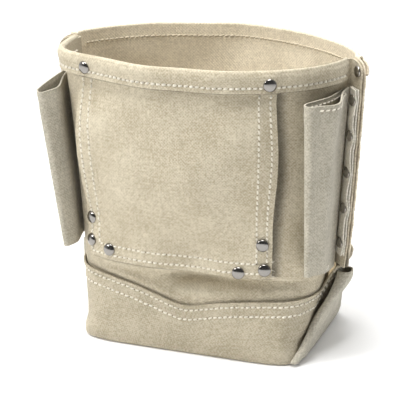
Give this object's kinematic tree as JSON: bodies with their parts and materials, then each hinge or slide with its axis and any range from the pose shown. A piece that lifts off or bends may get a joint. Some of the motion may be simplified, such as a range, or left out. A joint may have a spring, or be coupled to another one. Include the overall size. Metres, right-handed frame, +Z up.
{
  "type": "canvas bolt bag",
  "caption": "Open-topped canvas bag with a riveted belt tunnel on its front, a pin sleeve in each side seam, a hemmed oval rim and a reinforced folded bottom.",
  "frame": {"origin": "centre of the flat underside of the bottom boot", "axes": "+Z up out of the mouth, -Y out of the face with the belt tunnel, +X towards the right side seam as seen by someone looking at that face"},
  "size_m": [0.2781, 0.1683, 0.2541],
  "materials": {
    "natural_canvas": "undyed heavy cotton duck, plain weave, matt",
    "sleeve_canvas": "undyed heavy cotton duck, slightly greyer, matt",
    "boot_canvas": "undyed heavy cotton duck, slightly darker, matt",
    "nickel_rivet": "nickel-plated domed rivet head, lightly scuffed",
    "burr_steel": "plain stamped burr washer"
  },
  "bodies": {
    "bag": {"front_panel": "natural_canvas", "back_panel": "natural_canvas", "bottom_boot": "boot_canvas", "belt_tunnel_panel": "natural_canvas", "left_sleeve_seam_tab": "sleeve_canvas", "right_sleeve_seam_tab": "sleeve_canvas", "tunnel_rivet_top_left": "nickel_rivet", "tunnel_rivet_top_left_burr": "burr_steel", "tunnel_rivet_top_right": "nickel_rivet", "tunnel_rivet_top_right_burr": "burr_steel", "tunnel_rivet_upper_left": "nickel_rivet", "tunnel_rivet_upper_left_burr": "burr_steel", "tunnel_rivet_upper_right": "nickel_rivet", "tunnel_rivet_upper_right_burr": "burr_steel", "tunnel_rivet_corner_left": "nickel_rivet", "tunnel_rivet_corner_left_burr": "burr_steel", "tunnel_rivet_corner_right": "nickel_rivet", "tunnel_rivet_corner_right_burr": "burr_steel", "tunnel_rivet_lower_left": "nickel_rivet", "tunnel_rivet_lower_left_burr": "burr_steel", "tunnel_rivet_lower_right": "nickel_rivet", "tunnel_rivet_lower_right_burr": "burr_steel", "left_seam_rivet_1": "nickel_rivet", "left_seam_rivet_1_burr": "burr_steel", "left_seam_rivet_2": "nickel_rivet", "left_seam_rivet_2_burr": "burr_steel", "left_seam_rivet_3": "nickel_rivet", "left_seam_rivet_3_burr": "burr_steel", "left_seam_rivet_4": "nickel_rivet", "left_seam_rivet_4_burr": "burr_steel", "left_seam_rivet_5": "nickel_rivet", "left_seam_rivet_5_burr": "burr_steel", "left_seam_rivet_6": "nickel_rivet", "left_seam_rivet_6_burr": "burr_steel", "right_seam_rivet_1": "nickel_rivet", "right_seam_rivet_1_burr": "burr_steel", "right_seam_rivet_2": "nickel_rivet", "right_seam_rivet_2_burr": "burr_steel", "right_seam_rivet_3": "nickel_rivet", "right_seam_rivet_3_burr": "burr_steel", "right_seam_rivet_4": "nickel_rivet", "right_seam_rivet_4_burr": "burr_steel", "right_seam_rivet_5": "nickel_rivet", "right_seam_rivet_5_burr": "burr_steel", "right_seam_rivet_6": "nickel_rivet", "right_seam_rivet_6_burr": "burr_steel"},
    "left_sleeve": {"left_pin_sleeve": "sleeve_canvas"},
    "right_sleeve": {"right_pin_sleeve": "sleeve_canvas"}
  },
  "joints": [
    {"name": "left_sleeve_swing", "type": "hinge", "parent": "bag", "child": "left_sleeve", "pos_m": [-0.11144, -0.0066, 0.085], "axis": [0.0666, 0, -0.9978], "range_deg": [-6, 30]},
    {"name": "right_sleeve_swing", "type": "hinge", "parent": "bag", "child": "right_sleeve", "pos_m": [0.11144, -0.0066, 0.085], "axis": [0.0666, 0, 0.9978], "range_deg": [-2, 25]}
  ]
}
